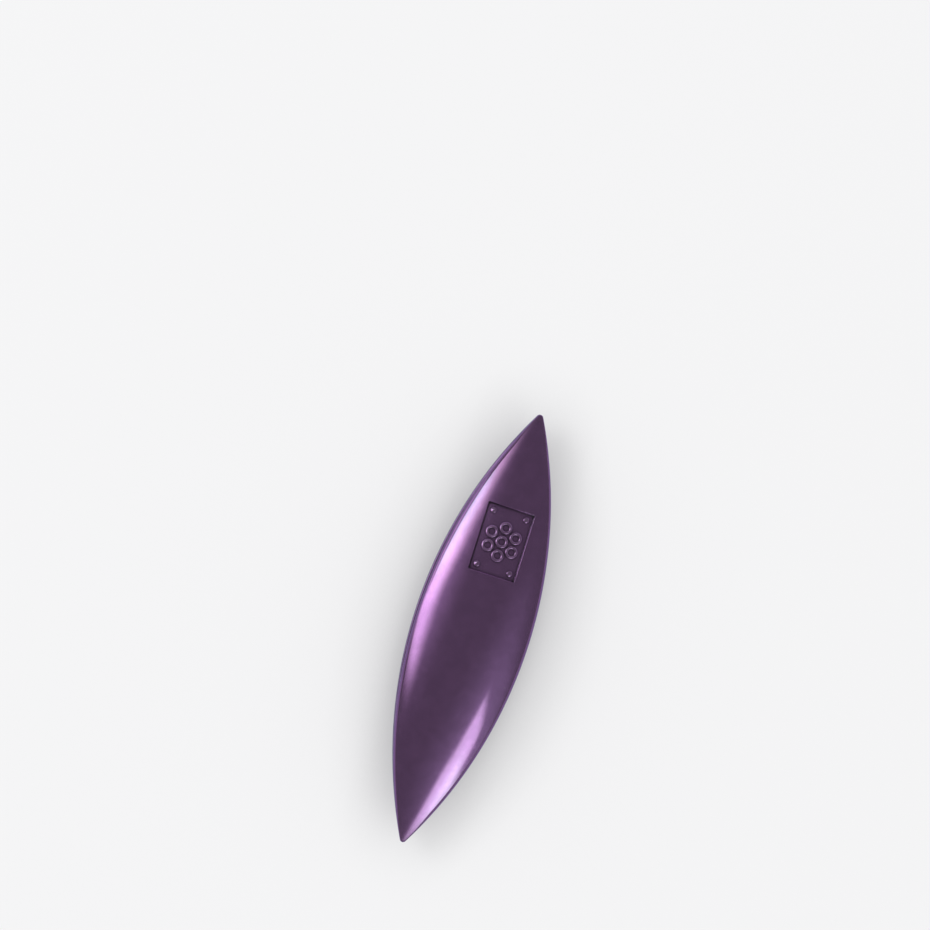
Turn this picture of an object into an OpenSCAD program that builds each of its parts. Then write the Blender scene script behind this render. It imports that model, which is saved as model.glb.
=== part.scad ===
// Tatting shuttle: two curved, pointed blades that meet at their tips, joined at the
// middle by a post with a thread hole. X runs from tip to tip, Y across, Z through the
// blades. The origin is the centre of the post. All sizes are in millimetres.

/* [Blades] */
// Length from tip to tip
blade_length = 63; // [54:0.5:76]
// Width of a blade at the middle
blade_width = 16.3; // [14:0.1:20]
// Height over both blades at the middle
shuttle_height = 12; // [11:0.1:15]
// Wall of a blade
blade_wall = 1.2; // [0.9:0.05:1.5]
// Thickness of each blade at its very tip
tip_thickness = 0.8; // [0.5:0.05:1.1]
// How far each sharp corner of the outline is cut back
tip_trim = 0.5; // [0.3:0.05:1]
// Radius of the curve across a blade, on the outside
crown_radius = 17; // [14:0.5:26]

/* [Centre post] */
// Length of the post, along the blades
post_length = 13; // [11.5:0.5:15]
// Width of the post, across the blades
post_width = 5.5; // [4.5:0.1:6.5]
// Height of the flat pad inside each blade that the post stands on
pad_height = 0.6; // [0.5:0.05:1]
// Radius of the hole that the thread is tied through
thread_hole_radius = 1; // [0.6:0.05:1.3]
// Chamfer at each mouth of the thread hole
thread_hole_chamfer = 0.3; // [0.1:0.05:0.5]

/* [Joint pins] */
// Radius of the pins that a blade holds the post with
pin_radius = 0.9; // [0.6:0.05:1.1]
// Length of a pin below its pad
pin_length = 2.6; // [1.6:0.1:3.2]
// Distance between the two pins of one blade
pin_spacing = 8; // [6.5:0.25:8.5]
// Radial clearance of a pin in its socket
pin_clearance = 0.03; // [0.02:0.01:0.1]
// Gap under the end of a pin
socket_spare = 0.3; // [0.1:0.05:0.5]

/* [Ornament] */
// Length of the sunk panel in the upper blade
panel_length = 9.8; // [8:0.1:12]
// Width of the sunk panel
panel_width = 6.8; // [6:0.1:8]
// Depth of the sunk panel
panel_depth = 0.3; // [0.2:0.05:0.45]
// Distance of the panel's centre from the middle of the blade
panel_offset = 13; // [11:0.5:15]
// Outer radius of each small ring of the rosette
ring_radius = 0.92; // [0.7:0.02:1]
// Width of the raised line that draws a ring
ring_line = 0.48; // [0.3:0.02:0.55]
// Least gap between two rings
ring_gap = 0.12; // [0.08:0.02:0.3]
// Height of the rings above the panel's floor
ring_height = 0.22; // [0.1:0.02:0.3]
// Plain border between the rosette and the panel's long edges
panel_border = 0.48; // [0.3:0.02:0.8]
// Radius of the dot in each corner of the panel
dot_radius = 0.45; // [0.3:0.05:0.6]
// Distance of a corner dot's centre from the panel's edges
dot_inset = 1; // [0.8:0.05:1.4]

/* [Hidden] */
$fn = 96;

// Segments of the large circles that shape the blades
large_fn = 360;
// A cut runs past the face it opens by this much
past = 1;

half_length = blade_length / 2;
half_width = blade_width / 2;
half_height = shuttle_height / 2;

// Radius of the outline's two arcs, which cross tip_trim beyond each tip
outline_reach = half_length + tip_trim;
outline_radius = (pow(outline_reach, 2) + pow(half_width, 2)) / (2 * half_width);

// Radius of the curve along a blade, which leaves tip_thickness at the tip
crown_drop = half_height - tip_thickness;
length_radius = (pow(half_length, 2) + pow(crown_drop, 2)) / (2 * crown_drop);
// Angle of the curve along a blade, with some to spare past each tip
spare_sweep = 2;
length_sweep = 2 * (asin(outline_reach / length_radius) + spare_sweep);

// The post stands between the pads of the two blades
post_half_height = half_height - blade_wall - pad_height;
// A pad runs this far into the blade's wall
pad_root = blade_wall / 2;

// The rosette's rings stand on a circle that leaves panel_border free
rosette_radius = panel_width / 2 - panel_border - ring_radius;
ring_count = floor(180 / asin((ring_radius + ring_gap / 2) / rosette_radius));

// The blade's outline from above, as a prism: two arcs that cross at the tips
module outline_prism(height) {
    linear_extrude(height)
        intersection() {
            translate([0, outline_radius - half_width])
                circle(outline_radius, $fn = large_fn);
            translate([0, half_width - outline_radius])
                circle(outline_radius, $fn = large_fn);
            circle(half_length, $fn = large_fn);
        }
}

// Everything below a surface that lies depth under the blade's outer face:
// a circle across the blade, carried along a larger circle from tip to tip
module below_crown(depth) {
    translate([0, 0, half_height - length_radius])
        rotate([90, 0, 0])
            rotate([0, 0, 90 - length_sweep / 2])
                rotate_extrude(angle = length_sweep, $fn = large_fn)
                    translate([length_radius - crown_radius, 0])
                        intersection() {
                            circle(crown_radius - depth, $fn = large_fn);
                            translate([0, -crown_radius])
                                square([crown_radius, 2 * crown_radius]);
                        }
}

// Outline of the post and of the pads it stands on: a bar with round ends
module post_outline() {
    square([post_length - post_width, post_width], center = true);
    for (end = [-1, 1])
        translate([end * (post_length - post_width) / 2, 0])
            circle(post_width / 2);
}

// Flat pad inside a blade, merged into the blade's wall
module pad() {
    intersection() {
        translate([0, 0, post_half_height])
            linear_extrude(half_height)
                post_outline();
        below_crown(pad_root);
    }
}

// The two pins of one blade, which run down from its pad
module pins() {
    for (end = [-1, 1])
        translate([end * pin_spacing / 2, 0, post_half_height - pin_length])
            cylinder(h = pin_length + pad_height, r = pin_radius);
}

// One blade as it is moulded, without ornament, above the plane where the tips meet
module plain_blade() {
    intersection() {
        difference() {
            below_crown(0);
            below_crown(blade_wall);
        }
        outline_prism(shuttle_height);
    }
    pad();
    pins();
}

// Sunk rectangle, whose floor follows the blade's outer face
module panel_recess() {
    difference() {
        translate([panel_offset - panel_length / 2, -panel_width / 2, 0])
            cube([panel_length, panel_width, half_height + past]);
        below_crown(panel_depth);
    }
}

// Ring of the rosette, as a tube that runs up through the panel's floor
module ring_tube() {
    difference() {
        cylinder(h = half_height, r = ring_radius);
        translate([0, 0, -past])
            cylinder(h = half_height + 2 * past, r = ring_radius - ring_line);
    }
}

// Raised rosette of small rings round one ring, with a dot in each corner
module rosette() {
    difference() {
        intersection() {
            translate([panel_offset, 0, 0]) {
                ring_tube();
                for (i = [0 : ring_count - 1])
                    rotate([0, 0, i * 360 / ring_count])
                        translate([rosette_radius, 0, 0])
                            ring_tube();
                for (x = [-1, 1], y = [-1, 1])
                    translate([x * (panel_length / 2 - dot_inset),
                               y * (panel_width / 2 - dot_inset), 0])
                        cylinder(h = half_height, r = dot_radius);
            }
            below_crown(panel_depth - ring_height);
        }
        below_crown((panel_depth + blade_wall) / 2);
    }
}

// Blade on the side that shows, with the sunk panel and its rosette
module upper_blade() {
    color([0.36, 0.26, 0.38]) {
        difference() {
            plain_blade();
            panel_recess();
        }
        rosette();
    }
}

// Plain blade on the far side
module lower_blade() {
    color([0.36, 0.26, 0.38])
        mirror([0, 0, 1])
            plain_blade();
}

// Hole across the post that the thread is tied through, with chamfered mouths
module thread_hole() {
    rotate([90, 0, 0])
        cylinder(h = post_width + 2 * past, r = thread_hole_radius, center = true);
    for (side = [-1, 1])
        rotate([side * 90, 0, 0])
            translate([0, 0, post_width / 2 - thread_hole_chamfer])
                cylinder(h = thread_hole_chamfer + past,
                         r1 = thread_hole_radius,
                         r2 = thread_hole_radius + thread_hole_chamfer + past);
}

// Sockets in one end of the post for one blade's pins
module pin_sockets() {
    for (end = [-1, 1])
        translate([end * pin_spacing / 2, 0,
                   post_half_height - pin_length - socket_spare])
            cylinder(h = pin_length + socket_spare + past, r = pin_radius + pin_clearance);
}

// Post between the blades that the thread is wound on
module centre_post() {
    color([0.42, 0.31, 0.44])
        difference() {
            translate([0, 0, -post_half_height])
                linear_extrude(2 * post_half_height)
                    post_outline();
            thread_hole();
            pin_sockets();
            mirror([0, 0, 1])
                pin_sockets();
        }
}

upper_blade();
lower_blade();
centre_post();
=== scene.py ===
"""Tatting shuttle in metallic lilac plastic, lying on a pale floor.

Two curved, pointed blades meet at their tips and are joined at the middle by a post.
The blades are surfaces worked out on grids of numbers, on the same two radii as the
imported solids, with rounded rims, a sunk panel and a raised rosette. Lengths are in
millimetres until a mesh is made, and every mesh is in metres, as Blender has it.
X runs from tip to tip, Y across the blades, and Z out through the upper blade.
"""

import logging
import math
from dataclasses import dataclass
from enum import Enum

import bpy
import numpy as np
from mathutils import Matrix, Vector


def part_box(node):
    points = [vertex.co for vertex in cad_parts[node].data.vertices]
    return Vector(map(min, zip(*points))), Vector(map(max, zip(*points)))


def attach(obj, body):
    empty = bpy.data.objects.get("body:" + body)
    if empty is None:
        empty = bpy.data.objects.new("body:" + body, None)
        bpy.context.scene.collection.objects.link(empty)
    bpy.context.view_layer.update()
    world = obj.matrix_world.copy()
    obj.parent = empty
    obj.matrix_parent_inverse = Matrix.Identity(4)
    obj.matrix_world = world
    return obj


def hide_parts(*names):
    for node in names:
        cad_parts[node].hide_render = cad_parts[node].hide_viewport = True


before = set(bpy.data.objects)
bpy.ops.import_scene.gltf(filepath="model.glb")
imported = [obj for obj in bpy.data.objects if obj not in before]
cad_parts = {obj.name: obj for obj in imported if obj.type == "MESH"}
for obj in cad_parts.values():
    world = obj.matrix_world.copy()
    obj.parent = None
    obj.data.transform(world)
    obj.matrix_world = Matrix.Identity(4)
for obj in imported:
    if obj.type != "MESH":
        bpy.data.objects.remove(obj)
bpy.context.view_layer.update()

MM = 0.001
ROOT = "root"
# Value of a mesh's rim attribute at which the worn colour shows fully
FULL_WEAR = 2.0

log = logging.getLogger("tatting_shuttle")


class Side(Enum):
    """Which of the two blades, by the sign of its place along Z."""

    UPPER = 1
    LOWER = -1


def smooth_step(low: float, high: float, value: np.ndarray) -> np.ndarray:
    """Ease from 0 at low to 1 at high: t squared times (3 - 2 t), with t held in 0 to 1.

    Args:
        low: Where the step starts, which may be the larger number.
        high: Where the step ends.
        value: Numbers to ease.

    Returns:
        The eased numbers, in 0 to 1.
    """
    t = np.clip((value - low) / (high - low), 0.0, 1.0)
    return t * t * (3.0 - 2.0 * t)


def quarter_round(distance: np.ndarray, radius: np.ndarray | float) -> np.ndarray:
    """Drop of a rounded edge: radius - sqrt(radius^2 - (radius - distance)^2).

    Args:
        distance: How far each point lies in from the edge.
        radius: Radius of the round, one for all points or one each.

    Returns:
        The drop, which is radius at the edge and 0 from one radius inwards.
    """
    short = np.clip(radius - distance, 0.0, radius)
    return radius - np.sqrt(radius**2 - short**2)


def even_turn(count: int) -> np.ndarray:
    """Angles of a full turn in count even steps: the step's number times 2 pi over count."""
    return np.arange(count) * 2.0 * math.pi / count


def scene_object(name: str, data: bpy.types.ID) -> bpy.types.Object:
    """Make an object at the origin and link it to the scene.

    Args:
        name: Its name.
        data: Its mesh, light or camera.

    Returns:
        The object.
    """
    made = bpy.data.objects.new(name, data)
    bpy.context.scene.collection.objects.link(made)
    return made


@dataclass(frozen=True)
class BladeForm:
    """The shape that both blades share, as heights over the plane where the tips meet.

    The outline is two arcs of one radius that cross near the tips, with a small arc
    tangent to both as the tip. The outer face is a circle across the blade, carried
    along a larger circle from tip to tip.
    """

    half_length: float
    half_width: float
    half_height: float
    wall: float = 1.2
    tip_thickness: float = 0.8
    tip_trim: float = 0.5
    crown_radius: float = 17.0
    outer_round: float = 0.40
    least_round: float = 0.16
    round_share: float = 0.15
    inner_round: float = 0.25
    rim_slant: float = 0.08
    slant_share: float = 0.2
    seam: float = 0.015
    seam_blend: float = 0.08

    @classmethod
    def from_frame(cls) -> "BladeForm":
        """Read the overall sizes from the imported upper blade."""
        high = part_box("upper_blade")[1]
        return cls(high.x / MM, high.y / MM, high.z / MM)

    @property
    def outline_radius(self) -> float:
        """Radius of the outline's arcs, which would cross tip_trim beyond the tip."""
        reach = self.half_length + self.tip_trim
        return (reach**2 + self.half_width**2) / (2.0 * self.half_width)

    @property
    def arc_offset(self) -> float:
        """Distance of each arc's centre from the X axis."""
        return self.outline_radius - self.half_width

    @property
    def tip_radius(self) -> float:
        """Radius of the tip's arc, which is tangent to both long arcs."""
        r, c, a = self.outline_radius, self.arc_offset, self.half_length
        return (r**2 - c**2 - a**2) / (2.0 * (r - a))

    @property
    def tip_centre(self) -> float:
        """Distance of the tip arc's centre from the middle."""
        return self.half_length - self.tip_radius

    @property
    def length_radius(self) -> float:
        """Radius of the outer face along the blade, which leaves tip_thickness at the tip."""
        drop = self.half_height - self.tip_thickness
        return (self.half_length**2 + drop**2) / (2.0 * drop)

    def half_width_at(self, x: np.ndarray) -> np.ndarray:
        """Half of the outline's width: the long arc, and the tip's arc beyond the tangent point.

        Args:
            x: Places along the blade.

        Returns:
            The half width at each place.
        """
        x = np.abs(x)
        long_arc = np.sqrt(self.outline_radius**2 - x**2) - self.arc_offset
        tip_arc = np.sqrt(np.clip(self.tip_radius**2 - (x - self.tip_centre) ** 2, 0.0, None))
        tangent = self.tip_centre * self.outline_radius / (self.outline_radius - self.tip_radius)
        return np.where(x > tangent, tip_arc, long_arc)

    def rim_distance(self, x: np.ndarray, y: np.ndarray) -> np.ndarray:
        """Distance in from the outline, seen from above.

        Beside the long arc it is that arc's radius less the distance from its centre.
        In the wedge beyond the tip arc's centre it is the tip radius less the distance
        from there.

        Args:
            x: Places along the blade.
            y: Places across it.

        Returns:
            The distances, 0 on the outline.
        """
        x, y = np.abs(x), np.abs(y)
        beside = self.outline_radius - np.hypot(x, y + self.arc_offset)
        beyond = self.tip_radius - np.hypot(x - self.tip_centre, y)
        in_wedge = y * self.tip_centre < (x - self.tip_centre) * self.arc_offset
        return np.clip(np.where(in_wedge, beyond, beside), 0.0, None)

    def crown(self, x: np.ndarray, y: np.ndarray, depth: float) -> np.ndarray:
        """Height of the surface that lies depth under the outer face.

        The circle across has radius crown_radius - depth. Its height above the large
        circle's axis is length_radius - crown_radius + sqrt(radius^2 - y^2), and that
        is then carried round the axis: sqrt(height^2 - x^2).

        Args:
            x: Places along the blade.
            y: Places across it.
            depth: How far the surface lies under the outer face.

        Returns:
            The heights.
        """
        across = np.sqrt((self.crown_radius - depth) ** 2 - y**2)
        swing = self.length_radius - self.crown_radius + across
        return self.half_height - self.length_radius + np.sqrt(swing**2 - x**2)

    def outer_height(self, x: np.ndarray, y: np.ndarray) -> np.ndarray:
        """The outer face, less the round along the rim."""
        radius = self.outer_round_at(self.half_width_at(x))
        return self.crown(x, y, 0.0) - quarter_round(self.rim_distance(x, y), radius)

    def outer_round_at(self, width: np.ndarray) -> np.ndarray:
        """Radius of the outer face's round: a share of the half width, between its two limits."""
        return np.clip(self.round_share * width, self.least_round, self.outer_round)

    def slant_at(self, width: np.ndarray) -> np.ndarray:
        """How far the rim slants inwards to the inner face, less where the outline is narrow."""
        return np.minimum(self.rim_slant, self.slant_share * width)

    def inner_height(self, x: np.ndarray, y: np.ndarray, slant: np.ndarray) -> np.ndarray:
        """The inner face, held above the seam where the tips meet, plus the round along the rim.

        The hold is a soft maximum: half of a + b + sqrt((a - b)^2 + blend^2). The round
        starts where the slant of the rim ends.

        Args:
            x: Places along the blade.
            y: Places across it.
            slant: How far the rim slants inwards there.

        Returns:
            The heights.
        """
        face = self.crown(x, y, self.wall)
        held = 0.5 * (face + self.seam + np.hypot(face - self.seam, self.seam_blend))
        inwards = np.clip(self.rim_distance(x, y) - slant, 0.0, None)
        return held + quarter_round(inwards, self.inner_round)


@dataclass(frozen=True)
class RosettePanel:
    """Sunk rectangle in the upper blade with a raised rosette of small rings."""

    centre: float = 13.0
    length: float = 9.8
    width: float = 6.8
    depth: float = 0.30
    corner: float = 0.16
    edge_over: float = 0.02
    edge_under: float = 0.16
    edge_line: float = 0.02
    edge_wear: float = 0.09
    ring_radius: float = 0.92
    ring_line: float = 0.48
    ring_gap: float = 0.12
    bead_height: float = 0.20
    border: float = 0.48
    dot_radius: float = 0.45
    dot_inset: float = 1.0
    floor_step: float = 0.3
    wall_lines: int = 13
    foot_lines: int = 7
    foot_step: float = 0.05
    line_digits: int = 5

    @property
    def rosette_radius(self) -> float:
        """Radius of the circle that the outer rings stand on."""
        return self.width / 2.0 - self.border - self.ring_radius

    @property
    def ring_count(self) -> int:
        """As many rings as fit round the circle with ring_gap between them."""
        reach = (self.ring_radius + self.ring_gap / 2.0) / self.rosette_radius
        return math.floor(math.pi / math.asin(reach))

    def edge_distance(self, x: np.ndarray, y: np.ndarray) -> np.ndarray:
        """Signed distance to a rectangle with rounded corners.

        It is the straight distance to a smaller rectangle, less the corners' radius.

        Args:
            x: Places along the blade.
            y: Places across it.

        Returns:
            The distances, below 0 inside the panel.
        """
        out_x = np.abs(x - self.centre) - self.length / 2.0 + self.corner
        out_y = np.abs(y) - self.width / 2.0 + self.corner
        outside = np.hypot(np.clip(out_x, 0.0, None), np.clip(out_y, 0.0, None))
        return outside + np.minimum(np.maximum(out_x, out_y), 0.0) - self.corner

    def sunk(self, x: np.ndarray, y: np.ndarray) -> np.ndarray:
        """How far each point is down in the panel, from 0 on the blade to 1 on its floor."""
        return smooth_step(self.edge_over, -self.edge_under, self.edge_distance(x, y))

    def drop(self, x: np.ndarray, y: np.ndarray) -> np.ndarray:
        """Depth under the blade's face."""
        return self.sunk(x, y) * self.depth

    def worn(self, x: np.ndarray, y: np.ndarray) -> np.ndarray:
        """Wear along the panel's upper edge: a smooth step up from the wall times one down outside.

        Args:
            x: Places along the blade.
            y: Places across it.

        Returns:
            The wear, from 0 to FULL_WEAR.
        """
        off = self.edge_distance(x, y)
        outside = smooth_step(self.edge_over + self.edge_line, 0.0, off)
        return FULL_WEAR * smooth_step(-self.edge_wear, 0.0, off) * outside

    def lines(self, half: float) -> np.ndarray:
        """Grid lines across the panel, close together on its walls and at their foot.

        wall_lines lie across each wall, with one more an edge_line outside it. At its
        foot are foot_lines, a foot_step apart, and the floor's are a floor_step apart.

        Args:
            half: Distance of the walls from the middle.

        Returns:
            The lines' places, from the middle, in rising order.
        """
        wall = half + np.linspace(-self.edge_under, self.edge_over, self.wall_lines)
        wall = np.append(wall, half + self.edge_over + self.edge_line)
        foot = half - self.edge_under - self.edge_line - self.foot_step * np.arange(self.foot_lines)
        end = foot.min()
        floor = np.linspace(-end, end, round(2.0 * end / self.floor_step) + 1)
        return np.unique(np.round(np.concatenate([-wall, -foot, floor, foot, wall]), self.line_digits))


@dataclass(frozen=True)
class GridMesh:
    """Vertices in millimetres, with faces of four corners, and a number per vertex for each mask."""

    points: np.ndarray
    quads: np.ndarray
    masks: dict[str, np.ndarray]

    @classmethod
    def tube(cls, rings: np.ndarray, masks: dict[str, np.ndarray] | None = None) -> "GridMesh":
        """Join closed rings of points, one after the other, into a tube.

        Args:
            rings: Points as an array of rings by points by 3.
            masks: Numbers for the points, as arrays of rings by points.

        Returns:
            The tube, open at its two ends.
        """
        count, around = rings.shape[:2]
        index = np.arange(count * around).reshape(count, around)
        turned = np.roll(index, -1, axis=1)
        quads = np.stack([index[:-1], turned[:-1], turned[1:], index[1:]], axis=-1)
        flat = {name: mask.reshape(-1) for name, mask in (masks or {}).items()}
        return cls(rings.reshape(-1, 3), quads.reshape(-1, 4), flat)

    @classmethod
    def join(cls, parts: list["GridMesh"]) -> "GridMesh":
        """Put several meshes with the same masks into one.

        Args:
            parts: The meshes.

        Returns:
            The one mesh, in which each part stays a shell of its own.
        """
        starts = np.cumsum([0] + [len(part.points) for part in parts[:-1]])
        quads = [part.quads + start for part, start in zip(parts, starts)]
        masks = {name: np.concatenate([part.masks[name] for part in parts]) for name in parts[0].masks}
        return cls(np.concatenate([part.points for part in parts]), np.concatenate(quads), masks)

    def to_object(self, name: str, merge: float = 1e-4) -> bpy.types.Object:
        """Make the Blender object, with points that coincide merged and normals outwards.

        Args:
            name: Name of the object and of its mesh.
            merge: Points closer than about this, in millimetres, become one.

        Returns:
            The object, linked to the scene, at the origin.
        """
        cells = np.round(self.points / merge).astype(np.int64)
        _, first, place = np.unique(cells, axis=0, return_index=True, return_inverse=True)
        points = self.points[first]
        quads = place.reshape(-1)[self.quads]
        if signed_volume(points, quads) < 0.0:
            quads = quads[:, ::-1]
        mesh = bpy.data.meshes.new(name)
        mesh.from_pydata((points * MM).tolist(), [], clean_faces(quads))
        for mask, values in self.masks.items():
            layer = mesh.attributes.new(mask, "FLOAT", "POINT")
            layer.data.foreach_set("value", values[first].astype(np.float32))
        mesh.shade_smooth()
        return scene_object(name, mesh)


def signed_volume(points: np.ndarray, quads: np.ndarray) -> float:
    """Volume inside the faces, which is below 0 where they point inwards.

    Args:
        points: Vertices.
        quads: Faces of four corners.

    Returns:
        A sixth of the summed triple products of the faces' two triangles.
    """
    a, b, c, d = (points[quads[:, k]] for k in range(4))
    first = np.einsum("ij,ij->i", a, np.cross(b, c))
    second = np.einsum("ij,ij->i", a, np.cross(c, d))
    return float((first + second).sum() / 6.0)


def clean_faces(quads: np.ndarray) -> list[list[int]]:
    """Turn quads that lost a corner to merging into triangles, and drop those that lost two.

    Args:
        quads: Faces of four corners, with repeated corners where points were merged.

    Returns:
        Faces of three or four different corners.
    """
    same_as_next = quads == np.roll(quads, -1, axis=1)
    opposite = (quads[:, 0] == quads[:, 2]) | (quads[:, 1] == quads[:, 3])
    lost = same_as_next.sum(axis=1)
    whole = quads[(lost == 0) & ~opposite]
    short = (lost == 1) & ~opposite
    triangles = quads[short][~same_as_next[short]].reshape(-1, 3)
    return whole.tolist() + triangles.tolist()


@dataclass
class Blade:
    """One blade: a thin closed shell, with the pad and the pins that hold the post."""

    form: BladeForm
    side: Side
    panel: RosettePanel | None = None
    coarse_step: float = 0.4
    flank_count: int = 24
    rim_count: int = 10
    side_count: int = 3
    inner_count: int = 46
    tip_zone: float = 1.6
    tip_count: int = 18
    rim_fade: float = 0.25
    band_share: float = 0.72
    plain_band: float = 3.4
    plain_lines: int = 24
    outer_share: float = 0.5
    inner_share: float = 0.3
    station_digits: int = 9

    @property
    def node(self) -> str:
        """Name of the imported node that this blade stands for."""
        return f"{self.side.name.lower()}_blade"

    def stations(self) -> np.ndarray:
        """Places along X of the shell's rings.

        They are coarse_step apart, close up towards each tip with the square of the
        distance, and along the panel they are its own lines.

        Returns:
            The places in rising order.
        """
        a = self.form.half_length
        reach = a - self.tip_zone
        along = np.linspace(-reach, reach, round(2.0 * reach / self.coarse_step) + 1)
        tip = a - self.tip_zone * np.linspace(0.0, 1.0, self.tip_count) ** 2
        if self.panel is not None:
            across = self.panel.lines(self.panel.length / 2.0) + self.panel.centre
            outside = (along < across.min()) | (along > across.max())
            along = np.concatenate([along[outside], across])
        return np.unique(np.round(np.concatenate([along, -tip, tip]), self.station_digits))

    def band_lines(self) -> np.ndarray:
        """Places across the middle band, with the panel's walls on them where there is a panel.

        Returns:
            The places as shares of the band's half width, from -1 to 1.
        """
        if self.panel is None:
            return np.linspace(-1.0, 1.0, self.plain_lines)
        lines = self.panel.lines(self.panel.width / 2.0)
        return lines / lines.max()

    def band_half_width(self) -> float:
        """Half width of the band whose lines run straight, along the panel's walls.

        Returns:
            The half width, a set one on the plain blade.
        """
        if self.panel is None:
            return self.plain_band
        return self.panel.width / 2.0 + self.panel.edge_over + self.panel.edge_line

    def shell(self) -> GridMesh:
        """The closed shell.

        At each station a ring of points runs over the outer face from -Y to +Y, down
        the rim and back over the inner face. Across the face, a point is at y = band
        half width times its share, and beyond the band at an even share of the way to
        the rim's round. On the round, the points close up towards the rim as 1 - sin of
        even angles. The last ring at each tip closes to an upright line.

        Returns:
            The shell, with its wear in the mask named rim.
        """
        form = self.form
        x = self.stations()[:, None]
        width = form.half_width_at(x)
        slope = form.outline_radius / np.sqrt(form.outline_radius**2 - x**2)
        outer_zone = np.minimum(form.outer_round_at(width) * slope, self.outer_share * width)
        inner_zone = np.minimum(form.inner_round * slope, self.inner_share * width)
        band = np.minimum(self.band_half_width(), self.band_share * (width - outer_zone))
        eased = 1.0 - np.sin(np.linspace(0.0, math.pi / 2.0, self.rim_count))[None, :]

        # Across the outer face, from -Y to +Y
        flank = np.linspace(0.0, 1.0, self.flank_count + 1)[None, 1:]
        beside = band + (width - outer_zone - band) * flank
        right = np.concatenate([beside, (width - outer_zone * eased)[:, 1:]], axis=1)
        outer_y = np.concatenate([-right[:, ::-1], band * self.band_lines()[None, :], right], axis=1)

        # Across the inner face, from +Y back to -Y
        slant = form.slant_at(width)
        inner_width = width - slant
        middle = (inner_width - inner_zone) * np.linspace(1.0, -1.0, self.inner_count)[None, :]
        inner_side = (inner_width - inner_zone * eased[:, ::-1])[:, :-1]
        inner_y = np.concatenate([inner_side, middle, -inner_side[:, ::-1]], axis=1)

        # The heights of both faces
        outer_x = np.broadcast_to(x, outer_y.shape)
        inner_x = np.broadcast_to(x, inner_y.shape)
        outer_z = form.outer_height(outer_x, outer_y)
        inner_z = form.inner_height(inner_x, inner_y, slant)
        if self.panel is not None:
            outer_z = outer_z - self.panel.drop(outer_x, outer_y)

        # Down the two sides of the rim, and the rings whole
        down = np.linspace(0.0, 1.0, self.side_count + 2)[None, 1:-1]
        left_z = outer_z[:, -1:] + (inner_z[:, :1] - outer_z[:, -1:]) * down
        right_z = inner_z[:, -1:] + (outer_z[:, :1] - inner_z[:, -1:]) * down
        side_y = width - slant * down
        ring_y = np.concatenate([outer_y, side_y, inner_y, -side_y[:, ::-1]], axis=1)
        ring_z = np.concatenate([outer_z, left_z, inner_z, right_z], axis=1)
        ring_x = np.broadcast_to(x, ring_y.shape)

        rim = np.exp(-form.rim_distance(ring_x, ring_y) / self.rim_fade)
        if self.panel is not None:
            rim[:, : outer_y.shape[1]] += self.panel.worn(outer_x, outer_y)
        points = np.stack([ring_x, ring_y, ring_z * self.side.value], axis=-1)
        return GridMesh.tube(points, {"rim": rim})

    def build(self, material: bpy.types.Material) -> list[bpy.types.Object]:
        """Make the blade's pieces and hand them to the frame.

        Args:
            material: The blades' finish.

        Returns:
            The pieces.
        """
        shell = self.shell().to_object(f"{self.node}_shell")
        pieces = [shell, PostSeat(self.form, self.side).build(f"{self.node}_seat")]
        if self.panel is not None:
            pieces.append(Rosette(self.form, self.panel).build(f"{self.node}_rosette"))
        for piece in pieces:
            piece.data.materials.append(material)
            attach(piece, ROOT)
            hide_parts(self.node)
            log.info("%s: %d faces", piece.name, len(piece.data.polygons))
        return pieces


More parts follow.
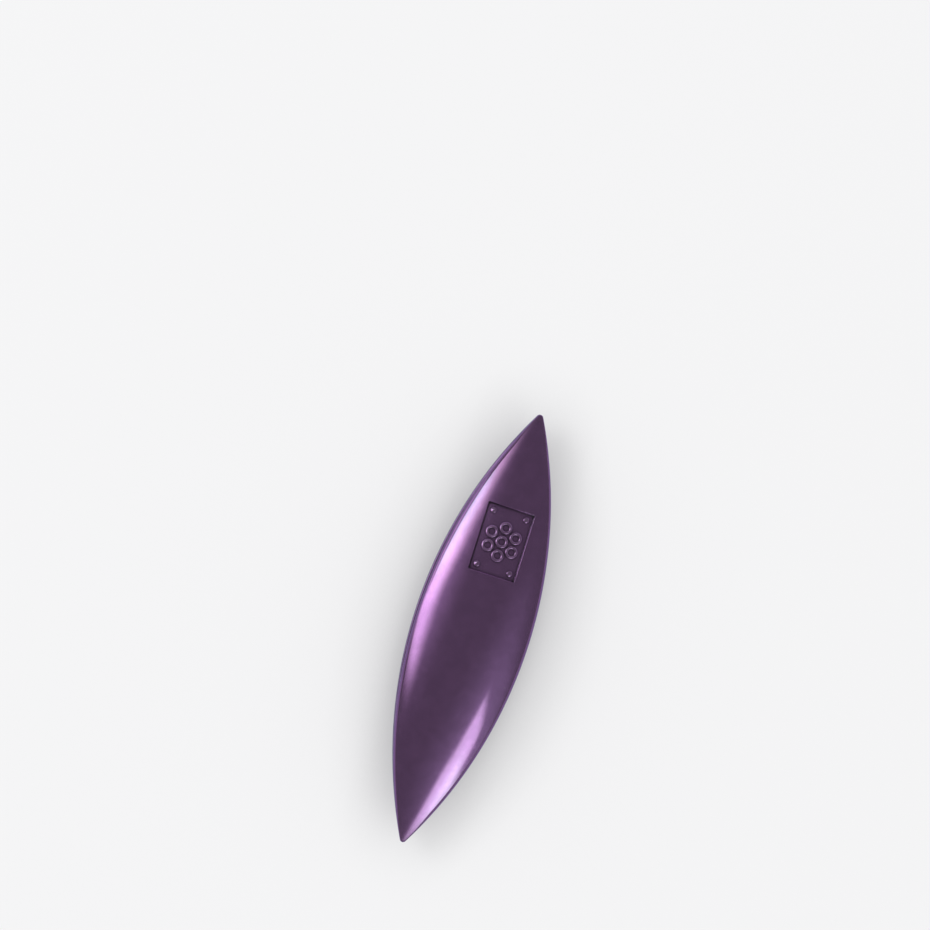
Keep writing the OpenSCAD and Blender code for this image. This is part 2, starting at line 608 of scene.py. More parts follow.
@dataclass(frozen=True)
class Rosette:
    """Raised ornament on the panel's floor: a rosette of ring beads, and a dome in each corner."""

    form: BladeForm
    panel: RosettePanel
    around: int = 96
    across: int = 28
    dome_root: float = 0.12
    wear_low: float = 0.1
    wear_high: float = 0.9

    def worn(self, upward: np.ndarray) -> np.ndarray:
        """Wear of a surface by how far it faces up, from wear_low to wear_high."""
        return FULL_WEAR * smooth_step(self.wear_low, self.wear_high, upward)

    def on_floor(self, x: np.ndarray, y: np.ndarray, height: np.ndarray) -> np.ndarray:
        """Points at a height over the panel's floor, as arrays of rings by points by 3."""
        z = self.form.crown(x, y, self.panel.depth) + height
        return np.stack(np.broadcast_arrays(x, y, z), axis=-1)

    def bead(self, cx: float, cy: float) -> GridMesh:
        """One ring with a round section, sunk so far that bead_height of it shows.

        The section's radius is (half line squared + height squared) over twice the
        height, so that the bead meets the floor on the ring's two outlines.

        Args:
            cx: X of the ring's centre, from the panel's centre.
            cy: Y of the ring's centre.

        Returns:
            A closed ring.
        """
        half, high = self.panel.ring_line / 2.0, self.panel.bead_height
        radius = (half**2 + high**2) / (2.0 * high)
        turn = np.linspace(0.0, 2.0 * math.pi, self.around + 1)[:, None]
        section = even_turn(self.across)[None, :]
        reach = self.panel.ring_radius - half + radius * np.cos(section)
        x = self.panel.centre + cx + reach * np.cos(turn)
        y = cy + reach * np.sin(turn)
        height = high - radius + radius * np.sin(section)
        worn = np.broadcast_to(self.worn(np.sin(section)), x.shape)
        return GridMesh.tube(self.on_floor(x, y, height), {"rim": worn})

    def dome(self, cx: float, cy: float) -> GridMesh:
        """One corner dome: an ellipsoid that is sunk by dome_root of its height.

        A point lies dot_radius times cos(rise) from the upright axis, and half of the
        height times sin(rise) over the middle.

        Args:
            cx: X of the dome's centre, from the panel's centre.
            cy: Y of the dome's centre.

        Returns:
            A closed dome.
        """
        rise = np.linspace(-math.pi / 2.0, math.pi / 2.0, self.across)[:, None]
        turn = even_turn(self.around // 2)[None, :]
        half = (self.panel.bead_height + self.dome_root) / 2.0
        x = self.panel.centre + cx + self.panel.dot_radius * np.cos(rise) * np.cos(turn)
        y = cy + self.panel.dot_radius * np.cos(rise) * np.sin(turn)
        level = np.broadcast_to(half - self.dome_root + half * np.sin(rise), x.shape)
        worn = np.broadcast_to(self.worn(np.sin(rise)), x.shape)
        return GridMesh.tube(self.on_floor(x, y, level), {"rim": worn})

    def build(self, name: str) -> bpy.types.Object:
        """Make all beads and domes as one object with several closed shells.

        Args:
            name: Name of the object.

        Returns:
            The object.
        """
        panel = self.panel
        out = panel.rosette_radius
        places = [(out * math.cos(turn), out * math.sin(turn)) for turn in even_turn(panel.ring_count)]
        beads = [self.bead(x, y) for x, y in [(0.0, 0.0), *places]]
        far_x = panel.length / 2.0 - panel.dot_inset
        far_y = panel.width / 2.0 - panel.dot_inset
        domes = [self.dome(x, y) for x in (-far_x, far_x) for y in (-far_y, far_y)]
        return GridMesh.join(beads + domes).to_object(name)


@dataclass(frozen=True)
class PostSeat:
    """Pad inside a blade that the post stands on, with its fillet and two pins."""

    form: BladeForm
    side: Side
    length: float = 13.0
    width: float = 5.5
    pad_height: float = 0.6
    fillet: float = 0.45
    foot: float = 0.05
    root: float = 0.7
    line_share: float = 0.8
    pin_radius: float = 0.9
    pin_length: float = 2.6
    pin_spacing: float = 8.0
    pin_chamfer: float = 0.2
    around: int = 96
    fillet_count: int = 8

    @property
    def face(self) -> float:
        """Height of the pad's flat face."""
        return self.form.half_height - self.form.wall - self.pad_height

    def bar(self, grow: np.ndarray) -> tuple[np.ndarray, np.ndarray]:
        """Outline of the pad, a bar with round ends, grown outwards.

        Each half turn is a semicircle about the centre of one end.

        Args:
            grow: How far each ring stands out from the bar.

        Returns:
            X and Y of the outline, as arrays of rings by points.
        """
        angle = even_turn(self.around) + math.pi / self.around
        end = (self.length - self.width) / 2.0 * np.sign(np.cos(angle))
        radius = self.width / 2.0 + grow[:, None]
        return end + radius * np.cos(angle), radius * np.sin(angle)

    def pad(self) -> GridMesh:
        """The pad: straight over foot, then a fillet that turns out by a quarter circle into the wall.

        Its two flat ends close towards a line along the middle, line_share as long as
        the pad, with one ring half way.

        Returns:
            The closed pad.
        """
        turn = np.linspace(0.0, math.pi / 2.0, self.fillet_count)
        grow = np.concatenate([[0.0], self.fillet * (1.0 - np.cos(turn)), [self.fillet]])
        rise = np.concatenate([[0.0], self.foot + self.fillet * np.sin(turn), [self.root]])
        x, y = self.bar(grow)
        z = np.broadcast_to((self.face + rise)[:, None], x.shape)
        rings = np.stack([x, y, z], axis=-1)
        middle_line = (self.line_share, 0.0, 1.0)
        half_way = ((1.0 + self.line_share) / 2.0, 0.5, 1.0)
        shrunk = np.array([middle_line, half_way])[:, None, :]
        rings = np.concatenate([rings[:1] * shrunk, rings, rings[-1:] * shrunk[::-1]])
        rings[..., 2] *= self.side.value
        return GridMesh.tube(rings)

    def pin(self, end: int) -> GridMesh:
        """One pin: a cylinder with a chamfered end, from inside the pad down into its socket.

        Its profile of radius and height is carried round the pin's axis.

        Args:
            end: 1 for the pin towards the panel, -1 for the other.

        Returns:
            The closed pin.
        """
        low = self.face - self.pin_length
        profile = [
            (0.0, low),
            (self.pin_radius - self.pin_chamfer, low),
            (self.pin_radius, low + self.pin_chamfer),
            (self.pin_radius, self.face + self.pad_height / 2.0),
            (0.0, self.face + self.pad_height / 2.0),
        ]
        radius, height = np.array(profile).T
        angle = even_turn(self.around // 2)
        x = end * self.pin_spacing / 2.0 + radius[:, None] * np.cos(angle)
        y = radius[:, None] * np.sin(angle)
        z = np.broadcast_to(height[:, None] * self.side.value, x.shape)
        return GridMesh.tube(np.stack([x, y, z], axis=-1))

    def build(self, name: str) -> bpy.types.Object:
        """Join the pad and the pins in one object.

        Args:
            name: Name of the object.

        Returns:
            The object, with the three closed shells in its mesh.
        """
        parts = [self.pad().to_object(name), self.pin(1).to_object("pin"), self.pin(-1).to_object("pin")]
        with bpy.context.temp_override(active_object=parts[0], selected_editable_objects=parts):
            bpy.ops.object.join()
        return parts[0]


class Nodes:
    """A node tree with short ways to add a node and to wire it."""

    def __init__(self, tree: bpy.types.NodeTree) -> None:
        """Take over the tree."""
        self.tree = tree

    @classmethod
    def fresh(cls, owner: bpy.types.Material | bpy.types.World) -> "Nodes":
        """Switch on the nodes of a material or a world and empty them.

        Args:
            owner: The material or the world.

        Returns:
            Its nodes.
        """
        owner.use_nodes = True
        owner.node_tree.nodes.clear()
        return cls(owner.node_tree)

    def feed(self, socket: bpy.types.NodeSocket, value: object) -> None:
        """Wire an output to an input, or set a plain value on it.

        Args:
            socket: The input.
            value: The output that feeds it, or a plain value.
        """
        if isinstance(value, bpy.types.NodeSocket):
            self.tree.links.new(value, socket)
        else:
            socket.default_value = value

    def add(self, kind: str, values: dict | None = None, **settings: object) -> bpy.types.Node:
        """Add a node.

        Args:
            kind: Blender's name of the node's type.
            values: What its inputs hold: a plain value, or the output that feeds it.
            settings: Its own settings.

        Returns:
            The node.
        """
        node = self.tree.nodes.new(kind)
        for name, value in settings.items():
            setattr(node, name, value)
        for name, value in (values or {}).items():
            self.feed(node.inputs[name], value)
        return node

    def maths(
        self,
        operation: str,
        first: object,
        second: object = 0.0,
        third: object = 0.0,
        clamp: bool = False,
    ) -> bpy.types.NodeSocket:
        """Add a Math node and return its output."""
        values = {0: first, 1: second, 2: third}
        return self.add("ShaderNodeMath", values, operation=operation, use_clamp=clamp).outputs[0]

    def mix(self, share: object, first: object, second: object) -> bpy.types.NodeSocket:
        """Add a colour Mix node and return its output."""
        node = self.add("ShaderNodeMix", {0: share, 6: first, 7: second}, data_type="RGBA")
        return node.outputs[2]

    def ramp(self, value: object, low: float, high: float) -> bpy.types.NodeSocket:
        """Add a smooth Map Range from low..high to 0..1 and return its output."""
        values = {"Value": value, "From Min": low, "From Max": high}
        return self.add("ShaderNodeMapRange", values, interpolation_type="SMOOTHSTEP").outputs["Result"]

    def noise(
        self, place: object, scale: object, detail: float, waver: float = 0.0
    ) -> bpy.types.NodeSocket:
        """Add a Noise texture, with waver as its distortion, and return its output."""
        values = {"Vector": place, "Scale": scale, "Detail": detail, "Distortion": waver}
        return self.add("ShaderNodeTexNoise", values).outputs["Fac"]

    def cells(self, place: object, scale: object) -> bpy.types.Node:
        """Add a Voronoi texture and return the node."""
        return self.add("ShaderNodeTexVoronoi", {"Vector": place, "Scale": scale})


class EffectGroup:
    """Base of the shared effects: a shader node group with named inputs and outputs."""

    name = "effect"
    inputs: dict[str, tuple[str, object]] = {}
    outputs: dict[str, str] = {}

    def __init__(self) -> None:
        """Make the group and wire its insides once."""
        self.tree = bpy.data.node_groups.new(self.name, "ShaderNodeTree")
        for label, (kind, default) in self.inputs.items():
            socket = self.tree.interface.new_socket(label, in_out="INPUT", socket_type=kind)
            if default is not None:
                socket.default_value = default
        for label, kind in self.outputs.items():
            self.tree.interface.new_socket(label, in_out="OUTPUT", socket_type=kind)
        nodes = Nodes(self.tree)
        self.given = nodes.add("NodeGroupInput").outputs
        results = self.wire(nodes)
        nodes.add("NodeGroupOutput", results)

    def wire(self, nodes: Nodes) -> dict[str, bpy.types.NodeSocket]:
        """Wire the inside.

        Args:
            nodes: The group's nodes.

        Returns:
            What feeds each of its outputs, by name.
        """
        raise NotImplementedError

    def place(self, nodes: Nodes, **values: object) -> dict[str, bpy.types.NodeSocket]:
        """Put the group into a material with its own values.

        Args:
            nodes: The material's nodes.
            values: What the group's inputs hold, with _ for each space in a name.

        Returns:
            The node's outputs by name.
        """
        node = nodes.add("ShaderNodeGroup", node_tree=self.tree)
        for label, value in values.items():
            nodes.feed(node.inputs[label.replace("_", " ")], value)
        return dict(node.outputs.items())


class MetalFlecks(EffectGroup):
    """Fine metallic pigment: each fleck of a cell pattern has its own tone and lean."""

    name = "metal_flecks"
    inputs = {"Vector": ("NodeSocketVector", None), "Per Metre": ("NodeSocketFloat", 9000.0)}
    outputs = {"Tone": "NodeSocketFloat", "Height": "NodeSocketFloat"}

    def wire(self, nodes: Nodes) -> dict[str, bpy.types.NodeSocket]:
        """Cells for the tone, and a noise for the lean.

        Args:
            nodes: The group's nodes.

        Returns:
            What feeds each of its outputs, by name.
        """
        cells = nodes.cells(self.given["Vector"], self.given["Per Metre"])
        tone = nodes.add("ShaderNodeSeparateColor", {"Color": cells.outputs["Color"]}).outputs["Red"]
        lean = nodes.noise(self.given["Vector"], self.given["Per Metre"], 1.0)
        return {"Tone": tone, "Height": lean}


class HairScratches(EffectGroup):
    """Hair-thin handling scratches that run roughly one way, broken up along their length."""

    name = "hair_scratches"
    inputs = {
        "Vector": ("NodeSocketVector", None),
        "Turn": ("NodeSocketFloat", 0.0),
        "Per Metre": ("NodeSocketFloat", 1500.0),
        "Share": ("NodeSocketFloat", 0.5),
    }
    outputs = {"Mask": "NodeSocketFloat"}
    stretch = 0.03
    line = 0.03
    waver = 0.3
    patches_per_metre = 420.0
    bare_below = 0.95
    full_above = 1.15

    def wire(self, nodes: Nodes) -> dict[str, bpy.types.NodeSocket]:
        """Level lines of a stretched noise, kept where a broad noise is high.

        Args:
            nodes: The group's nodes.

        Returns:
            What feeds each of its outputs, by name.
        """
        turn = nodes.add("ShaderNodeCombineXYZ", {"Z": self.given["Turn"]}).outputs[0]
        turning = {"Vector": self.given["Vector"], "Rotation": turn, "Scale": (self.stretch, 1.0, 1.0)}
        turned = nodes.add("ShaderNodeMapping", turning).outputs[0]
        grain = nodes.noise(turned, self.given["Per Metre"], 0.0, self.waver)
        off = nodes.maths("ABSOLUTE", nodes.maths("SUBTRACT", grain, 0.5))
        line = nodes.ramp(off, self.line, 0.0)
        broad = nodes.noise(self.given["Vector"], self.patches_per_metre, 2.0)
        over = nodes.maths("ADD", broad, self.given["Share"])
        kept = nodes.ramp(over, self.bare_below, self.full_above)
        return {"Mask": nodes.maths("MULTIPLY", line, kept)}


class HandlingHaze(EffectGroup):
    """Broad, faint patches where handling has left the gloss a little uneven."""

    name = "handling_haze"
    inputs = {"Vector": ("NodeSocketVector", None), "Per Metre": ("NodeSocketFloat", 150.0)}
    outputs = {"Haze": "NodeSocketFloat"}
    waver = 0.6
    clear_below = 0.35
    full_above = 0.7

    def wire(self, nodes: Nodes) -> dict[str, bpy.types.NodeSocket]:
        """A soft noise, eased to 0..1.

        Args:
            nodes: The group's nodes.

        Returns:
            What feeds each of its outputs, by name.
        """
        noise = nodes.noise(self.given["Vector"], self.given["Per Metre"], 3.0, self.waver)
        return {"Haze": nodes.ramp(noise, self.clear_below, self.full_above)}


class DustSpecks(EffectGroup):
    """Sparse, tiny pale specks of dust."""

    name = "dust_specks"
    inputs = {
        "Vector": ("NodeSocketVector", None),
        "Per Metre": ("NodeSocketFloat", 900.0),
        "Size": ("NodeSocketFloat", 0.09),
    }
    outputs = {"Mask": "NodeSocketFloat"}
    bare_share = 0.93
    speck_edge = 1.0
    speck_core = 0.4

    def wire(self, nodes: Nodes) -> dict[str, bpy.types.NodeSocket]:
        """The middle of each cell of a cell pattern, in a few cells only.

        Args:
            nodes: The group's nodes.

        Returns:
            What feeds each of its outputs, by name.
        """
        cells = nodes.cells(self.given["Vector"], self.given["Per Metre"])
        pick = nodes.add("ShaderNodeSeparateColor", {"Color": cells.outputs["Color"]}).outputs["Green"]
        few = nodes.maths("GREATER_THAN", pick, self.bare_share)
        share = nodes.maths("DIVIDE", cells.outputs["Distance"], self.given["Size"])
        speck = nodes.ramp(share, self.speck_edge, self.speck_core)
        return {"Mask": nodes.maths("MULTIPLY", few, speck)}


class CreaseShade(EffectGroup):
    """Painted shade where surfaces meet, as at the foot of the panel's walls and round the beads, and on
    the lower blade where the floor is near.
    """

    name = "crease_painted_shade"
    inputs = {"Reach": ("NodeSocketFloat", 0.0007)}
    outputs = {"Mask": "NodeSocketFloat"}
    samples = 12
    clean_sky = 0.96
    full_sky = 0.64

    def wire(self, nodes: Nodes) -> dict[str, bpy.types.NodeSocket]:
        """The part of the sky that near surfaces hide, eased to 0..1.

        Args:
            nodes: The group's nodes.

        Returns:
            What feeds each of its outputs, by name.
        """
        reach = {"Distance": self.given["Reach"]}
        shade = nodes.add("ShaderNodeAmbientOcclusion", reach, samples=self.samples)
        return {"Mask": nodes.ramp(shade.outputs["AO"], self.clean_sky, self.full_sky)}


@dataclass(frozen=True)
class Effects:
    """The shared effects, each built once."""

    flecks: MetalFlecks
    scratches: HairScratches
    haze: HandlingHaze
    dust: DustSpecks
    creases: CreaseShade

    @classmethod
    def make(cls) -> "Effects":
        """Build the five groups."""
        return cls(MetalFlecks(), HairScratches(), HandlingHaze(), DustSpecks(), CreaseShade())


@dataclass(frozen=True)
class MetallicLilac:
    """Moulded plastic with a metallic lilac finish, as on the blades and the post."""

    name: str
    colour: tuple[float, float, float] = (0.391, 0.174, 0.445)
    rim_colour: tuple[float, float, float] = (0.52, 0.27, 0.57)
    tint: tuple[float, float, float] = (1.0, 0.9, 1.0)
    metallic: float = 0.88
    roughness: float = 0.10
    haze: float = 0.02
    scratch: float = 0.07
    fleck: float = 0.06
    cloud: float = 0.10
    painted_shade: float = 0.90
    dust_colour: tuple[float, float, float] = (0.75, 0.70, 0.76)
    dust_share: float = 0.22
    dust_rough: float = 0.15
    coat: float = 1.0
    coat_ior: float = 1.5
    coat_roughness: float = 0.05
    bump: float = 0.0000004

    def material(self, effects: Effects) -> bpy.types.Material:
        """Build the material.

        Args:
            effects: The shared effects.

        Returns:
            A Principled material with flecks, clouds, haze, scratches, dust, worn rims
            and shade painted into its creases.
        """
        made = bpy.data.materials.new(self.name)
        nodes = Nodes.fresh(made)

        # The patterns, all on the piece's own place in space
        place = nodes.add("ShaderNodeTexCoord").outputs["Object"]
        rim = nodes.add("ShaderNodeAttribute", attribute_name="rim").outputs["Fac"]
        flecks = effects.flecks.place(nodes, Vector=place, Per_Metre=9000.0)
        haze = effects.haze.place(nodes, Vector=place, Per_Metre=150.0)["Haze"]
        clouds = effects.haze.place(nodes, Vector=place, Per_Metre=520.0)["Haze"]
        long_marks = effects.scratches.place(nodes, Vector=place, Turn=0.12, Share=0.46)["Mask"]
        crossing = {"Turn": 1.9, "Per_Metre": 1100.0, "Share": 0.40}
        cross_marks = effects.scratches.place(nodes, Vector=place, **crossing)["Mask"]
        marks = nodes.maths("MAXIMUM", long_marks, cross_marks)
        dust = effects.dust.place(nodes, Vector=place)["Mask"]
        # Painted shade: a mask of the sky that near surfaces hide, high in creases and where the floor
        # is near
        painted_shade = effects.creases.place(nodes)["Mask"]

        # The colour, from the flecks' tone to the dust on top
        darkest = 1.0 - self.fleck / 2.0 - self.cloud / 2.0
        tone = nodes.maths("MULTIPLY_ADD", flecks["Tone"], self.fleck, darkest)
        tone = nodes.maths("ADD", tone, nodes.maths("MULTIPLY", clouds, self.cloud))
        # Painted shade: the colour is darkened where the crease mask is high
        unshaded = nodes.maths("SUBTRACT", 1.0, nodes.maths("MULTIPLY", painted_shade, self.painted_shade))
        tone = nodes.maths("MULTIPLY", tone, unshaded)
        wear = nodes.maths("MULTIPLY", rim, 1.0 / FULL_WEAR, clamp=True)
        worn = nodes.mix(wear, (*self.colour, 1.0), (*self.rim_colour, 1.0))
        toned = nodes.add("ShaderNodeVectorMath", {0: worn, 1: tone}, operation="MULTIPLY").outputs[0]
        dusty = nodes.maths("MULTIPLY", dust, self.dust_share)
        colour = nodes.mix(dusty, toned, (*self.dust_colour, 1.0))

        # The roughness, and the lean of the flecks
        rough = nodes.maths("MULTIPLY_ADD", haze, self.haze, self.roughness)
        rough = nodes.maths("ADD", rough, nodes.maths("MULTIPLY", marks, self.scratch))
        rough = nodes.maths("ADD", rough, nodes.maths("MULTIPLY", dust, self.dust_rough), clamp=True)
        lean = {"Height": flecks["Height"], "Strength": 1.0, "Distance": self.bump}
        bump = nodes.add("ShaderNodeBump", lean)
        shader = nodes.add(
            "ShaderNodeBsdfPrincipled",
            {
                "Base Color": colour,
                "Roughness": rough,
                "Normal": bump.outputs[0],
                "Metallic": self.metallic,
                "Specular Tint": (*self.tint, 1.0),
                "Coat Weight": self.coat,
                "Coat IOR": self.coat_ior,
                "Coat Roughness": self.coat_roughness,
            },
        )
        nodes.add("ShaderNodeOutputMaterial", {"Surface": shader.outputs[0]})
        return made


@dataclass(frozen=True)
class CentrePost:
    """The post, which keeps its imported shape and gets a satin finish."""

    node: str = "centre_post"

    def dress(self, material: bpy.types.Material) -> bpy.types.Object:
        """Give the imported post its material.

        Args:
            material: The post's finish.

        Returns:
            The post.
        """
        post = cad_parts[self.node]
        post.data.materials.clear()
        post.data.materials.append(material)
        log.info("%s: %d faces", post.name, len(post.data.polygons))
        return post


@dataclass(frozen=True)
class MirroredSoftbox:
    """A softbox as the blades mirror it: a patch of a ceiling one metre above the shuttle.

    corners are (x, y) on that ceiling in metres, in order round the patch. From the
    side that starts at a corner, the light fades in over the soft width of that place.
    """

    name: str
    colour: tuple[float, float, float]
    corners: tuple[tuple[float, float], ...]
    soft: tuple[float, ...]

    def light(self, nodes: Nodes, spot: bpy.types.NodeSocket) -> bpy.types.NodeSocket:
        """Wire the patch: the product over its sides of a smooth step of the distance inwards.

        Args:
            nodes: The world's nodes.
            spot: The place on the ceiling that a ray reaches.

        Returns:
            The output that holds the light at that place.
        """
        corners = np.array(self.corners)
        along = np.roll(corners, -1, axis=0) - corners
        inwards = np.stack([-along[:, 1], along[:, 0]], axis=1) / np.linalg.norm(along, axis=1)[:, None]
        sides = (inwards * (corners.mean(axis=0) - corners)).sum(axis=1)
        inwards *= np.sign(sides)[:, None]
        starts = (inwards * corners).sum(axis=1)
        share = 1.0
        for (x, y), start, soft in zip(inwards.tolist(), starts.tolist(), self.soft):
            reach = nodes.add("ShaderNodeVectorMath", {0: spot, 1: (x, y, 0.0)}, operation="DOT_PRODUCT")
            inside = nodes.ramp(reach.outputs["Value"], start, start + soft)
            share = nodes.maths("MULTIPLY", inside, share)
        scaled = {0: self.colour, "Scale": share}
        return nodes.add("ShaderNodeVectorMath", scaled, operation="SCALE", label=self.name).outputs[0]


@dataclass(frozen=True)
class StudioLamp:
    """A large square lamp that lights the floor and casts the shadow, and isn't mirrored itself.

    Its place and its size are in metres.
    """

    name: str
    place: tuple[float, float, float]
    size: float
    radiance: float

    def build(self) -> bpy.types.Object:
        """Make the area light, which faces the shuttle. Its power is pi times radiance times area.

        Returns:
            The lamp.
        """
        data = bpy.data.lights.new(self.name, "AREA")
        data.shape = "SQUARE"
        data.size = self.size
        data.energy = math.pi * self.radiance * self.size**2
        lamp = scene_object(self.name, data)
        place = Vector(self.place)
        turn = place.to_track_quat("Z", "Y").to_matrix().to_4x4()
        lamp.matrix_world = Matrix.Translation(place) @ turn
        lamp.visible_camera = False
        lamp.visible_glossy = False
        return lamp


@dataclass(frozen=True)
class PhotoCamera:
    """The camera, worked out from where the shuttle stands in the picture.

    lean_left and lean_up are how far the view leans from straight down, towards the
    shuttle's left side (+Y) and its upper tip (+X). The tip-to-tip line is turned
    clockwise by roll in the picture, and the shuttle's centre is at centre_px. The
    angles are in degrees, distance and sensor in millimetres, and the two clips in metres.
    """

    lean_left: float = 3.5
    lean_up: float = 3.0
    roll: float = 18.04
    centre_px: tuple[float, float] = (471.3, 628.35)
    frame_px: float = 930.0
    distance: float = 600.0
    px_per_mm: float = 7.121
    sensor: float = 36.0
    clip_near: float = 0.01
    clip_far: float = 20.0

    def build(self) -> bpy.types.Object:
        """Make the camera and set it as the scene's.

        It first looks straight at the shuttle's centre, and is then swung until the
        centre is seen at centre_px.

        Returns:
            The camera.
        """
        lean = (math.tan(math.radians(self.lean_up)), math.tan(math.radians(self.lean_left)), 1.0)
        back = Vector(lean).normalized()
        right = (-back).cross(Vector((1.0, 0.0, 0.0))).normalized()
        up = right.cross(-back)
        roll = math.radians(self.roll)
        right, up = (
            right * math.cos(roll) + up * math.sin(roll),
            up * math.cos(roll) - right * math.sin(roll),
        )
        focal_px = self.px_per_mm * self.distance
        across = (self.centre_px[0] - self.frame_px / 2.0) / focal_px
        down = (self.centre_px[1] - self.frame_px / 2.0) / focal_px
        ahead = Vector((0.0, 0.0, -1.0))
        swing = ahead.rotation_difference(Vector((across, -down, -1.0))).to_matrix()
        to_camera = swing @ Matrix((right, up, back))

        data = bpy.data.cameras.new("photo_camera")
        data.sensor_width = self.sensor
        data.lens = focal_px / self.frame_px * self.sensor
        data.clip_start = self.clip_near
        data.clip_end = self.clip_far
        camera = scene_object("photo_camera", data)
        place = Matrix.Translation(back * self.distance * MM)
        camera.matrix_world = place @ to_camera.transposed().to_4x4()
        bpy.context.scene.camera = camera
        return camera


@dataclass(frozen=True)
class Studio:
    """Pale floor and walls under plain soft light, with what the gloss of the blades mirrors.

    Its lengths are in metres, and the heights at which the walls end and the ceiling
    starts are shares of a ray's length.
    """

    floor_size: float = 6.0
    floor_colour: tuple[float, float, float] = (0.86, 0.86, 0.87)
    floor_seen: tuple[float, float, float] = (0.90, 0.90, 0.90)
    floor_mirrored: tuple[float, float, float] = (0.27, 0.30, 0.38)
    seen_share: float = 0.6
    contact_reach: float = 0.010
    contact_samples: int = 12
    contact_power: float = 0.8
    contact_lift: float = 0.25
    room: tuple[float, float, float] = (0.80, 0.80, 0.81)
    ceiling: tuple[float, float, float] = (0.057, 0.085, 0.059)
    walls: tuple[float, float, float] = (0.30, 0.30, 0.34)
    wall_below: float = 0.15
    ceiling_above: float = 0.56
    least_height: float = 0.02
    backdrop: tuple[float, float, float] = (0.93, 0.93, 0.94)
    lamps: tuple[StudioLamp, ...] = (
        StudioLamp("key_lamp", (0.25, 0.85, 1.1), 0.6, 5.0),
        StudioLamp("fill_lamp", (-0.5, -0.9, 1.2), 0.8, 1.2),
    )
    softboxes: tuple[MirroredSoftbox, ...] = (
        MirroredSoftbox(
            "far_side_sheet", (1.0, 1.0, 1.05),
            ((-0.30, 1.40), (0.80, 1.10), (3.20, 6.00), (-0.70, 6.00)), (0.25, 0.40, 2.00, 0.40),
        ),
        MirroredSoftbox(
            "left_lower", (1.74, 1.74, 1.75),
            ((0.14, 0.69), (0.05, 1.61), (-0.19, 1.61), (-0.50, 0.64)), (0.08, 0.10, 0.19, 0.40),
        ),
        MirroredSoftbox(
            "left_upper", (2.38, 2.55, 2.15),
            ((0.83, -0.10), (-0.06, 1.49), (-0.07, 1.36), (-0.09, 0.79)), (0.01, 0.09, 0.27, 0.24),
        ),
        MirroredSoftbox(
            "left_core", (0.0, 0.80, 0.40),
            ((0.60, 0.55), (0.10, 1.38), (0.05, 0.94), (0.29, 0.54), (0.53, 0.33)),
            (0.12, 0.06, 0.12, 0.12, 0.13),
        ),
        MirroredSoftbox(
            "left_halo", (0.76, 0.74, 0.84),
            ((0.83, -0.11), (0.01, 1.57), (-0.73, 0.53)), (0.01, 0.54, 1.07),
        ),
        MirroredSoftbox(
            "right_sharp", (1.42, 1.62, 1.48),
            (
                (-0.22, -0.76), (-0.56, -0.33), (-0.98, -0.03),
                (-1.13, -0.28), (-0.57, -0.80), (-0.44, -1.03),
            ),
            (0.04, 0.045, 0.03, 0.01, 0.035, 0.13),
        ),
        MirroredSoftbox(
            "right_soft", (1.05, 1.80, 1.12),
            ((-0.36, -0.73), (-0.61, -0.30), (-1.05, -0.11), (-1.15, -0.30), (-0.62, -0.87)),
            (0.18, 0.23, 0.05, 0.05, 0.24),
        ),
        MirroredSoftbox(
            "right_glow", (0.28, 0.315, 0.335),
            ((0.56, -0.75), (-0.11, -1.91), (-1.55, -0.78), (-0.70, 0.43)), (0.88, 0.41, 0.49, 0.76),
        ),
    )

    def floor_material(self) -> bpy.types.Material:
        """The floor's finish: pale to the camera, dimmer where mirrored, and clear from below.

        The contact shadow is the open part of the near sky, to contact_power, and
        mirrored rays get contact_lift of what it takes away back.

        Returns:
            The material.
        """
        made = bpy.data.materials.new("pale_floor")
        nodes = Nodes.fresh(made)
        path = nodes.add("ShaderNodeLightPath").outputs
        mirrored = nodes.maths("MAXIMUM", path["Is Glossy Ray"], path["Is Transmission Ray"])
        share = nodes.maths("MULTIPLY_ADD", path["Is Camera Ray"], self.seen_share, mirrored)
        reach = {"Distance": self.contact_reach}
        shade = nodes.add("ShaderNodeAmbientOcclusion", reach, samples=self.contact_samples)
        lit = nodes.maths("POWER", shade.outputs["AO"], self.contact_power)
        lift = nodes.maths("MULTIPLY", mirrored, self.contact_lift)
        lift = nodes.maths("MULTIPLY", nodes.maths("SUBTRACT", 1.0, lit), lift)
        lit = nodes.maths("ADD", lit, lift)
        tone = nodes.mix(path["Is Camera Ray"], (*self.floor_mirrored, 1.0), (*self.floor_seen, 1.0))
        emit = nodes.add("ShaderNodeEmission", {"Color": tone, "Strength": lit})
        matt = nodes.add("ShaderNodeBsdfDiffuse", {"Color": (*self.floor_colour, 1.0)})
        both = nodes.add("ShaderNodeMixShader", {0: share, 1: matt.outputs[0], 2: emit.outputs[0]})
        behind = nodes.add("ShaderNodeNewGeometry").outputs["Backfacing"]
        clear = nodes.add("ShaderNodeBsdfTransparent")
        whole = nodes.add("ShaderNodeMixShader", {0: behind, 1: both.outputs[0], 2: clear.outputs[0]})
        nodes.add("ShaderNodeOutputMaterial", {"Surface": whole.outputs[0]})
        return made

    def floor(self) -> bpy.types.Object:
        """The floor, a square that the lower blade's lowest point touches.

        Returns:
            The floor.
        """
        half = self.floor_size / 2.0
        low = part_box("lower_blade")[0].z
        mesh = bpy.data.meshes.new("floor")
        corners = [(-half, -half, low), (half, -half, low), (half, half, low), (-half, half, low)]
        mesh.from_pydata(corners, [], [(0, 1, 2, 3)])
        floor = scene_object("floor", mesh)
        floor.data.materials.append(self.floor_material())
        return floor

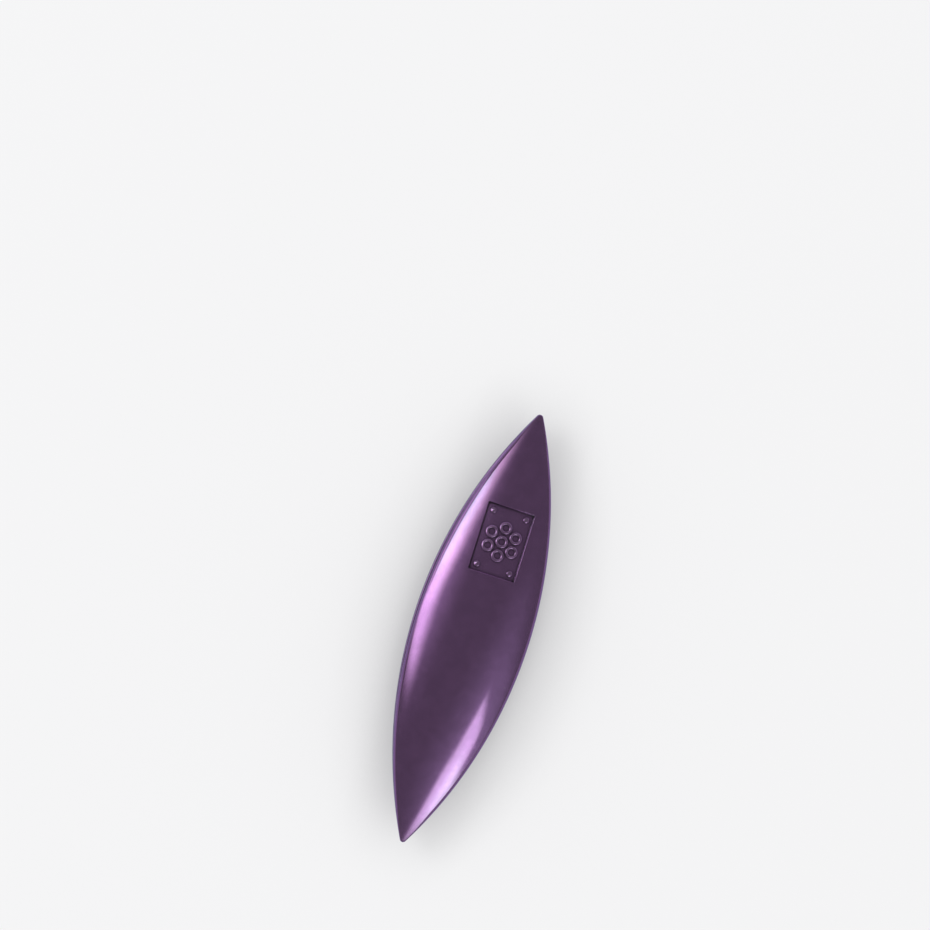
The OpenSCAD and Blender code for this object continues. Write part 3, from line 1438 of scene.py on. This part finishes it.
    def surroundings(self) -> None:
        """The world: pale to the camera, even for matt surfaces, and for gloss a room with softboxes.

        A mirrored ray reaches the ceiling at its direction over its height. The
        softboxes are patches there, and their light adds up where two overlap.
        """
        world = bpy.data.worlds.new("studio")
        bpy.context.scene.world = world
        nodes = Nodes.fresh(world)
        way = nodes.add("ShaderNodeTexCoord").outputs["Generated"]
        height = nodes.maths("ABSOLUTE", nodes.add("ShaderNodeSeparateXYZ", {0: way}).outputs["Z"])
        scale = nodes.maths("DIVIDE", 1.0, nodes.maths("MAXIMUM", height, self.least_height))
        spot = nodes.add("ShaderNodeVectorMath", {0: way, "Scale": scale}, operation="SCALE").outputs[0]
        upper = nodes.ramp(height, self.wall_below, self.ceiling_above)
        lit = nodes.mix(upper, (*self.walls, 1.0), (*self.ceiling, 1.0))
        for softbox in self.softboxes:
            light = softbox.light(nodes, spot)
            lit = nodes.add("ShaderNodeVectorMath", {0: lit, 1: light}, operation="ADD").outputs[0]

        path = nodes.add("ShaderNodeLightPath").outputs
        colour = nodes.mix(path["Is Glossy Ray"], (*self.room, 1.0), lit)
        colour = nodes.mix(path["Is Camera Ray"], colour, (*self.backdrop, 1.0))
        shader = nodes.add("ShaderNodeBackground", {"Color": colour})
        nodes.add("ShaderNodeOutputWorld", {"Surface": shader.outputs[0]})

    def build(self) -> None:
        """Make the floor, the world and the lamps."""
        self.floor()
        self.surroundings()
        for lamp in self.lamps:
            lamp.build()


def main() -> None:
    """Build the camera, the studio and the three parts of the shuttle, in that order."""
    logging.basicConfig(level=logging.INFO, format="%(name)s: %(message)s")
    bpy.context.scene.view_settings.view_transform = "Standard"
    PhotoCamera().build()
    Studio().build()
    effects = Effects.make()
    blade_finish = MetallicLilac("metallic_lilac_gloss").material(effects)
    post_finish = MetallicLilac("metallic_lilac_satin", roughness=0.30, coat=0.0).material(effects)
    form = BladeForm.from_frame()
    Blade(form, Side.UPPER, RosettePanel()).build(blade_finish)
    Blade(form, Side.LOWER).build(blade_finish)
    CentrePost().dress(post_finish)


if __name__ == "__main__":
    main()
